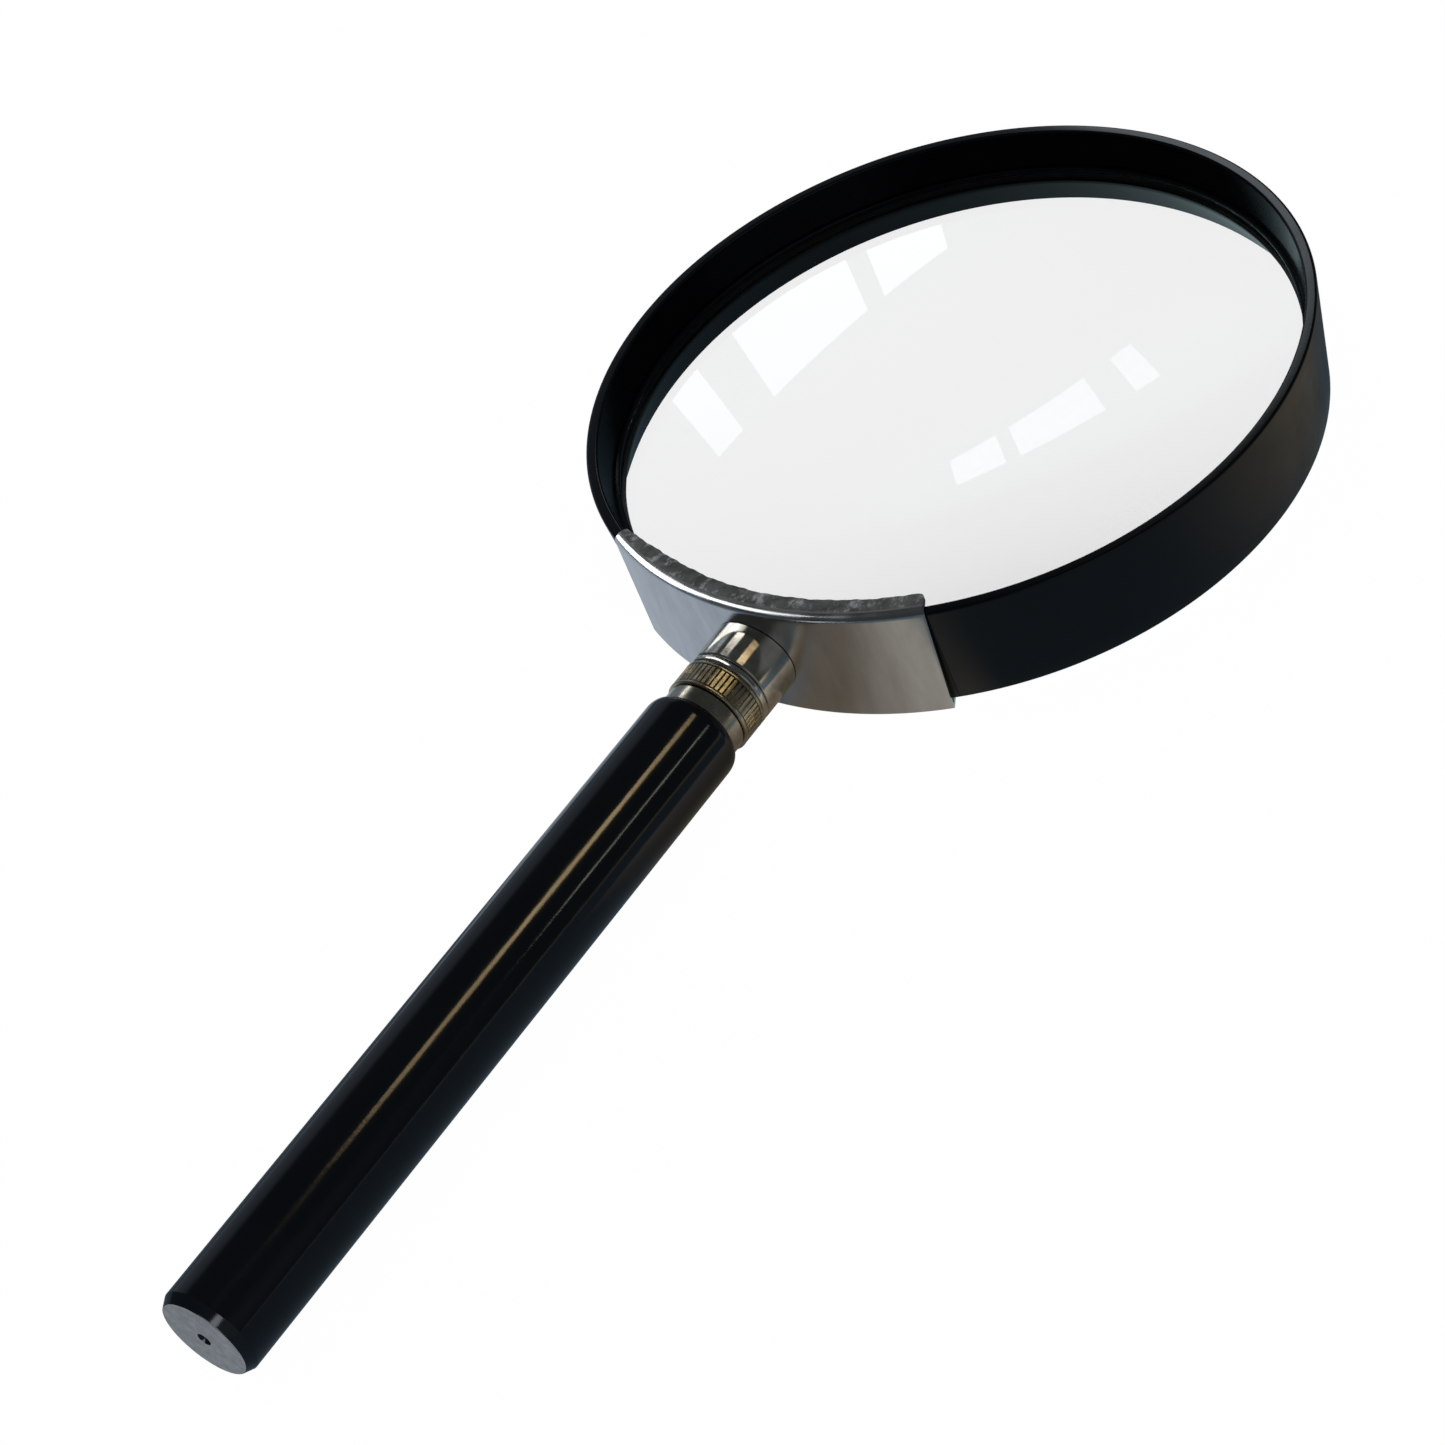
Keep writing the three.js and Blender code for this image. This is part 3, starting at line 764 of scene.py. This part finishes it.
def thrust_washer():
    """Plain washer between the sleeve and the collar."""
    outline = rounded([
        (STUD_BORE, WASHER_START, 0.1),
        (WASHER_RADIUS, WASHER_START, 0.35),
        (WASHER_RADIUS, WASHER_END, 0.35),
        (STUD_BORE, WASHER_END, 0.1),
    ])
    piece = turned("thrust_washer_fine", outline, even_turn(NECK_SIDES), lengthwise)
    fit(piece, "thrust_washer", "washer", "washer_steel", WASHER_STEEL)


def knurled_collar():
    """Collar with a straight knurl between two plain lips."""
    lip = 0.5
    run = 0.15  # length over which a rib rises from the groove beside a lip
    root = COLLAR_RADIUS - RIB_DEPTH
    first, last = COLLAR_START + lip, COLLAR_END - lip
    lip_in = rounded([
        (STUD_BORE, COLLAR_START, 0.1),
        (COLLAR_RADIUS, COLLAR_START, 0.18),
        (COLLAR_RADIUS, first, 0.08),
        (root, first, 0),
    ])
    ribs = [(root, first + run), (root, (first + last) / 2), (root, last - run)]
    lip_out = rounded([
        (root, last, 0),
        (COLLAR_RADIUS, last, 0.08),
        (COLLAR_RADIUS, COLLAR_END, 0.18),
        (STUD_BORE, COLLAR_END, 0.1),
    ])

    def relief(radius, angle, s):
        if radius == root and first < s < last:
            crest = min(1, 1.7 * abs(math.sin(RIBS * angle / 2)))
            return root + RIB_HEIGHT * crest, s
        return radius, s

    outline = [*lip_in, *ribs, *lip_out]
    piece = turned("knurled_collar_fine", outline, even_turn(RIBS * RIB_STEPS), lengthwise, relief)
    fit(piece, "knurled_collar", "handle", "collar_nickel", COLLAR_NICKEL)


def handle_ferrule():
    """Ferrule whose spigot fits into the rod."""
    outline = rounded([
        (STUD_BORE, FERRULE_START, 0.1),
        (FERRULE_RADIUS, FERRULE_START, 0.18),
        (FERRULE_RADIUS, FERRULE_END, 0.06),
        (SPIGOT_RADIUS, FERRULE_END, 0),
        (SPIGOT_RADIUS, SPIGOT_END, 0.2),
        (STUD_BORE, SPIGOT_END, 0.1),
    ])
    piece = turned("handle_ferrule_fine", outline, even_turn(NECK_SIDES), lengthwise)
    fit(piece, "handle_ferrule", "handle", "neck_nickel", FERRULE_NICKEL)


def handle_stud():
    """Stud with a helical thread from end to end."""
    rows = int((STUD_END - STUD_START) * THREAD_STEPS)
    side = [(STUD_RADIUS, STUD_START + (STUD_END - STUD_START) * i / rows) for i in range(rows + 1)]

    def relief(radius, angle, s):
        if radius < STUD_RADIUS:
            return radius, s
        threaded = STUD_RADIUS - THREAD_DEPTH * (1 - thread_height(angle, s))
        return min(threaded, STUD_RADIUS - POINT + s - STUD_START), s

    outline = [(0, STUD_START), *side, (0, STUD_END)]
    piece = turned("handle_stud_fine", outline, even_turn(NECK_SIDES // 2), lengthwise, relief, False)
    fit(piece, "handle_stud", "handle", "stud_steel", STUD_STEEL)


def stud_insert():
    """The brass insert lies inside the rod, so its CAD solid is shown as it is."""
    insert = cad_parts["stud_insert"]
    insert.data.materials.clear()
    insert.data.materials.append(BRASS)


# ---- Handle --------------------------------------------------------------------------------------------

INSERT_END, INSERT_RADIUS = along_handle("stud_insert")[1:]
SHOULDER_DEPTH = 1.1
SHOULDER_LENGTH = 2
END_CHAMFER_LENGTH = 1.4
END_CHAMFER_DEPTH = 0.7
CENTRE_HOLE_RADIUS = 1
CENTRE_HOLE_DEPTH = 0.9
CENTRE_PILOT_RADIUS = 0.5
CENTRE_PILOT_DEPTH = 4


def handle_grip():
    """Rod with a rounded shoulder, hollow for the insert and the ferrule, and centre-drilled at its end."""
    face = GRIP_RADIUS - END_CHAMFER_DEPTH
    shoulder = []
    shoulder_steps = 12
    for i in range(shoulder_steps + 1):
        angle = math.radians(-90 + 90 * i / shoulder_steps)
        radius = GRIP_RADIUS - SHOULDER_DEPTH * (1 - math.cos(angle))
        shoulder.append((radius, GRIP_START + SHOULDER_LENGTH * (1 + math.sin(angle)), 0))
    lengths = 60
    straight_start = GRIP_START + SHOULDER_LENGTH
    straight = GRIP_END - END_CHAMFER_LENGTH - straight_start
    side = [(GRIP_RADIUS, straight_start + straight * i / lengths, 0) for i in range(1, lengths)]
    outline = rounded([
        (0, INSERT_END + GAP, 0),
        (INSERT_RADIUS + GAP, INSERT_END + GAP, 0.1),
        (INSERT_RADIUS + GAP, SPIGOT_END + GAP, 0),
        (SPIGOT_RADIUS + GAP, SPIGOT_END + GAP, 0),
        (SPIGOT_RADIUS + GAP, GRIP_START, 0.1),
        *shoulder,
        *side,
        (GRIP_RADIUS, GRIP_END - END_CHAMFER_LENGTH, 0.3),
        (face, GRIP_END, 0.2),
        (CENTRE_HOLE_RADIUS, GRIP_END, 0.08),
        (CENTRE_PILOT_RADIUS, GRIP_END - CENTRE_HOLE_DEPTH, 0),
        (CENTRE_PILOT_RADIUS, GRIP_END - CENTRE_PILOT_DEPTH, 0),
        (0, GRIP_END - CENTRE_PILOT_DEPTH, 0),
    ])
    piece = turned("handle_grip_fine", outline, even_turn(NECK_SIDES), lengthwise)
    fit(piece, "handle_grip", "handle", "handle_plastic", HANDLE_GLOSS, HANDLE_END)

    def end_face(centre, normal):
        return normal.y < -0.9 and BAND_Y - centre.y > GRIP_END - 0.1

    paint(piece, 1, end_face)


# ---- Floor, room and lights ----------------------------------------------------------------------------

FLOOR_HALF = 6.0  # metres
FLOOR_DROP = 0.00005  # metres below the object

# The floor and the room are pale only as seen directly. In reflections and bounced light the floor is dim,
# with painted light and shade in zones, and the room is dark, with soft glows.

# Glows: azimuth, elevation, full within and gone at an angle in degrees, and colour.
ROOM_GLOWS = (
    (-122, 12, 16, 30, (0.14, 0.17, 0.21)),
    (75, 20, 15, 40, (0.12, 0.13, 0.135)),
)


def painted_floor_reflections(made):
    """Painted reflections on the floor: painted light beside the saddle and painted shade under the lens."""
    x, y = made.node("ShaderNodeSeparateXYZ", {"Vector": made.place()}).outputs[:2]

    def ramp(value, low, high):
        return made.spread(value, 0, 1, low * MM, high * MM)

    def both(first, second):
        return made.maths("MULTIPLY", first, second)

    beside = both(ramp(y, -32, -16), ramp(y, 42, 28))
    # Painted light in reflections: bluish cool light left of the neck, warm light right of it.
    left = both(ramp(x, -4, -12), beside)
    right = both(both(ramp(x, 11, 27), ramp(x, 32, 28)), beside)
    from_lens = made.maths("SUBTRACT", y, BAND_Y * MM)
    square = made.maths("ADD", both(x, x), both(from_lens, from_lens))
    distance = made.maths("SQRT", square)
    # Painted shade under the lens, with painted teal light towards the lens's edge.
    painted_zone_under_lens = ramp(distance, 53, 50)
    painted_light_by_lens_edge = both(ramp(distance, 38, 45), ramp(x, -40, 20))
    # Painted warm light past the band's +X side, on a dim bluish floor.
    painted_warm_past_band = both(ramp(x, 48, 56), ramp(y, 40, 90))
    tone = made.between(painted_warm_past_band, (0.10, 0.135, 0.17), (0.42, 0.36, 0.27))
    # Painted shadow of the neck between the two lit zones.
    shade = both(both(ramp(x, -3, 5), ramp(x, 32, 28)), beside)
    tone = made.between(shade, tone, (0.150, 0.128, 0.100))
    tone = made.between(left, tone, (0.44, 0.50, 0.58))
    tone = made.between(right, tone, (0.42, 0.395, 0.355))
    inside = made.between(painted_light_by_lens_edge, (0.03, 0.05, 0.065), (0.28, 0.38, 0.40))
    return made.between(painted_zone_under_lens, tone, inside)


def make_floor():
    """Floor, pale and glowing as seen directly, and dim with painted light and shade in reflections."""
    mesh = bmesh.new()
    corners = [(-1, -1), (1, -1), (1, 1), (-1, 1)]
    mesh.faces.new([mesh.verts.new((x * FLOOR_HALF, y * FLOOR_HALF, -FLOOR_DROP)) for x, y in corners])
    data = bpy.data.meshes.new("floor")
    mesh.to_mesh(data)
    mesh.free()
    floor = bpy.data.objects.new("floor", data)
    bpy.context.scene.collection.objects.link(floor)
    made = Finish("floor_paper")
    tree = made.tree
    path = made.node("ShaderNodeLightPath")
    bounces = made.maths("ADD", path.outputs["Glossy Depth"], path.outputs["Diffuse Depth"])
    seen = made.maths("LESS_THAN", bounces, 0.5)
    paper = made.node("ShaderNodeBsdfDiffuse", {"Color": (0.30, 0.30, 0.30, 1)})
    glow = made.node("ShaderNodeEmission", {"Color": (1, 1, 1, 1), "Strength": 0.98})
    pale = made.node("ShaderNodeAddShader", {0: paper.outputs[0], 1: glow.outputs[0]})
    # In reflections the floor shows its painted light and shade.
    dim = made.node("ShaderNodeEmission", {"Color": painted_floor_reflections(made), "Strength": 1.0})
    surface = made.node("ShaderNodeMixShader", {0: seen, 1: dim.outputs[0], 2: pale.outputs[0]})
    tree.links.new(surface.outputs[0], tree.nodes["Material Output"].inputs["Surface"])
    made.material.cycles.emission_sampling = "NONE"
    floor.data.materials.append(made.material)


def glow_lobe(nodes, links, coordinates, towards, inner, outer, colour):
    """A soft round glow in the room, full within one angle of a direction and gone at another."""
    dot = nodes.new("ShaderNodeVectorMath")
    dot.operation = "DOT_PRODUCT"
    dot.inputs[1].default_value = towards
    links.new(coordinates.outputs["Generated"], dot.inputs[0])
    fade = nodes.new("ShaderNodeMapRange")
    fade.interpolation_type = "SMOOTHSTEP"
    fade.inputs["From Min"].default_value = math.cos(math.radians(outer))
    fade.inputs["From Max"].default_value = math.cos(math.radians(inner))
    links.new(dot.outputs["Value"], fade.inputs["Value"])
    glow = nodes.new("ShaderNodeBackground")
    glow.inputs["Color"].default_value = (*colour, 1)
    links.new(fade.outputs["Result"], glow.inputs["Strength"])
    return glow.outputs[0]


def make_room():
    """White as seen directly, and a dark room with soft glows in reflections."""
    world = bpy.data.worlds.new("room")
    world.use_nodes = True
    bpy.context.scene.world = world
    nodes, links = world.node_tree.nodes, world.node_tree.links
    nodes.clear()
    out = nodes.new("ShaderNodeOutputWorld")
    coordinates = nodes.new("ShaderNodeTexCoord")
    dark = nodes.new("ShaderNodeBackground")
    dark.inputs["Color"].default_value = (0.040, 0.044, 0.046, 1)
    room = dark.outputs[0]
    for azimuth, elevation, inner, outer, colour in ROOM_GLOWS:
        lobe = glow_lobe(nodes, links, coordinates, direction(azimuth, elevation), inner, outer, colour)
        both = nodes.new("ShaderNodeAddShader")
        links.new(room, both.inputs[0])
        links.new(lobe, both.inputs[1])
        room = both.outputs[0]
    white = nodes.new("ShaderNodeBackground")
    white.inputs["Strength"].default_value = 1.0
    path = nodes.new("ShaderNodeLightPath")
    mix = nodes.new("ShaderNodeMixShader")
    links.new(path.outputs["Is Camera Ray"], mix.inputs[0])
    links.new(room, mix.inputs[1])
    links.new(white.outputs[0], mix.inputs[2])
    links.new(mix.outputs[0], out.inputs["Surface"])


UPWARD = Vector((0, 0, 1))


def panel(name, centre, facing, width, height, colour, radiance, pieces, upward=UPWARD):
    """A soft rectangular light of a given radiance that lights only the named pieces."""
    data = bpy.data.lights.new(name, "AREA")
    data.shape = "RECTANGLE"
    data.size = width
    data.size_y = height
    data.color = colour
    data.energy = radiance * math.pi * width * height
    light = bpy.data.objects.new(name, data)
    light.location = centre
    back = -facing.normalized()
    across = upward.cross(back).normalized()
    light.rotation_mode = "QUATERNION"
    light.rotation_quaternion = Matrix((across, back.cross(across), back)).transposed().to_quaternion()
    light.visible_camera = False
    bpy.context.scene.collection.objects.link(light)
    lit = bpy.data.collections.new("lit_by_" + name)
    for piece in pieces:
        lit.objects.link(bpy.data.objects[piece + "_fine"])
    light.light_linking.receiver_collection = lit


# Window panes in an upright wall, in metres: heights, and edges along the wall from its middle.
WINDOW_WALL_AZIMUTH = -76.3
WINDOW_WALL_DISTANCE = 1.0
WINDOW_BOTTOM = 0.72
WINDOW_TOP = 1.031
WINDOW_EDGES = ((1.069, 1.142), (1.237, 1.538), (1.595, 1.819))
WINDOW_COLOUR = (0.86, 0.94, 1.0)
WINDOW_RADIANCE = 1.6

# Lamps aimed from the camera's place, so that it sees them reflected on a stretch of a rod: name, pieces,
# radius of the rod, lengths s from and to, turns from the top in degrees from and to, distance of the lamp,
# colour and radiance.
ROD_LAMPS = (
    ("warm_lamp", ("handle_grip",), 7, 66, 142, 28.2, 32.6, 1000, (1.0, 0.74, 0.40), 4.2),
    ("warm_lamp_core", ("handle_grip",), 7, 82, 112, 28.6, 32.0, 1000, (1.0, 0.80, 0.44), 2.6),
    ("warm_strip", ("handle_grip",), 7, 68, 104, 49.2, 50.6, 1000, (1.0, 0.96, 0.80), 3.0),
    ("sleeve_white", ("socket_sleeve",), 6.3, 52.6, 56.2, 4, 14, 80, (1.0, 1.0, 0.98), 2.2),
    ("sleeve_glint", ("socket_sleeve",), 6.3, 56.8, 58.0, -9, -3, 80, (0.9, 0.96, 1.0), 0.5),
    ("sleeve_gold", ("socket_sleeve",), 6.3, 56.4, 60.0, 28, 37, 80, (1.0, 0.80, 0.50), 1.5),
    ("neck_patch", ("socket_sleeve", "thrust_washer", "knurled_collar"), 6.3, 52, 66, 76, 86, 300,
     (1.0, 0.93, 0.80), 0.10),
    ("washer_white", ("thrust_washer",), 6.2, 55, 65, -12, 26, 80, (1.0, 1.0, 1.0), 2.4),
    ("collar_gold", ("knurled_collar",), 6.2, 59, 66, 17, 43, 80, (1.0, 0.82, 0.48), 1.5),
    ("collar_rim", ("knurled_collar",), 6.2, 62.6, 66, -4, 13, 80, (1.0, 0.95, 0.84), 0.55),
    ("ferrule_line", ("handle_ferrule",), 5.95, 64, 68.5, -7, -1, 80, (1.0, 1.0, 1.0), 3.4),
    ("ferrule_patch", ("handle_ferrule",), 5.95, 62, 70, 68, 86, 80, (1.0, 0.94, 0.82), 0.24),
)
# Lamps placed by direction from below the lens, in metres: name, pieces, azimuth, elevation, width, height,
# colour and radiance.
ROOM_LAMP_DISTANCE = 0.8
ROOM_LAMPS = (
    ("fold_lamp", ("saddle_plate",), -72, 24, 0.55, 0.50, (0.88, 0.94, 1.0), 3.2),
    ("fold_lamp_fading", ("saddle_plate",), -46, 40, 0.32, 0.32, (0.94, 0.97, 1.0), 2.4),
    ("lip_lamp", ("saddle_plate",), -131, 44, 0.80, 0.60, (1.0, 0.97, 0.90), 0.09),
    ("rim_sheen", ("rim_band",), -146, 34, 0.10, 0.16, (0.84, 0.93, 1.0), 1.6),
    ("end_lamp", ("handle_grip",), 12, 22, 0.6, 0.5, (0.9, 0.95, 1.0), 3.2),
)


def rod_lamp(name, pieces, radius, near, far, turn_from, turn_to, distance, colour, radiance):
    """A lamp whose reflection covers a stretch of a rod on the handle's axis."""
    turn = math.radians((turn_from + turn_to) / 2)
    spread = math.radians(turn_to - turn_from)
    normal = Vector((math.sin(turn), 0, math.cos(turn)))
    eye = bpy.context.scene.camera.location

    def reflected(s):
        place = lengthwise(radius, turn, s)
        return place + (place - eye).normalized().reflect(normal) * distance * MM

    place = lengthwise(radius, turn, (near + far) / 2)
    centre = reflected((near + far) / 2)
    length = (reflected(near) - reflected(far)).length
    across = (centre - place).xz.length
    width = 2 * spread * across + radius * MM * spread
    panel(name, centre, place - centre, width, length, colour, radiance, pieces, Vector((0, 1, 0)))


def make_lights():
    """Window panes for the lens, and small soft lamps for the handle, the neck, the band and the saddle."""
    centre = Vector((0, BAND_Y * MM, 0))
    outward = direction(WINDOW_WALL_AZIMUTH, 0)
    level = Vector((outward.y, -outward.x, 0))
    middle = outward * WINDOW_WALL_DISTANCE + Vector((0, 0, (WINDOW_BOTTOM + WINDOW_TOP) / 2))
    height = WINDOW_TOP - WINDOW_BOTTOM
    for number, (near, far) in enumerate(WINDOW_EDGES):
        place = centre + middle + level * (near + far) / 2
        name = f"window_{number}"
        panel(name, place, -outward, far - near, height, WINDOW_COLOUR, WINDOW_RADIANCE, ("lens",))
    for lamp in ROD_LAMPS:
        rod_lamp(*lamp)
    for name, pieces, azimuth, elevation, width, height, colour, radiance in ROOM_LAMPS:
        towards = direction(azimuth, elevation)
        panel(name, centre + towards * ROOM_LAMP_DISTANCE, -towards, width, height, colour, radiance, pieces)


make_camera()
rim_band()
lens()
lens_retaining_ring()
saddle_plate()
socket_sleeve()
threaded_bush()
thrust_washer()
knurled_collar()
handle_ferrule()
handle_stud()
stud_insert()
handle_grip()
make_floor()
make_room()
make_lights()
bpy.context.scene.view_settings.view_transform = "Standard"
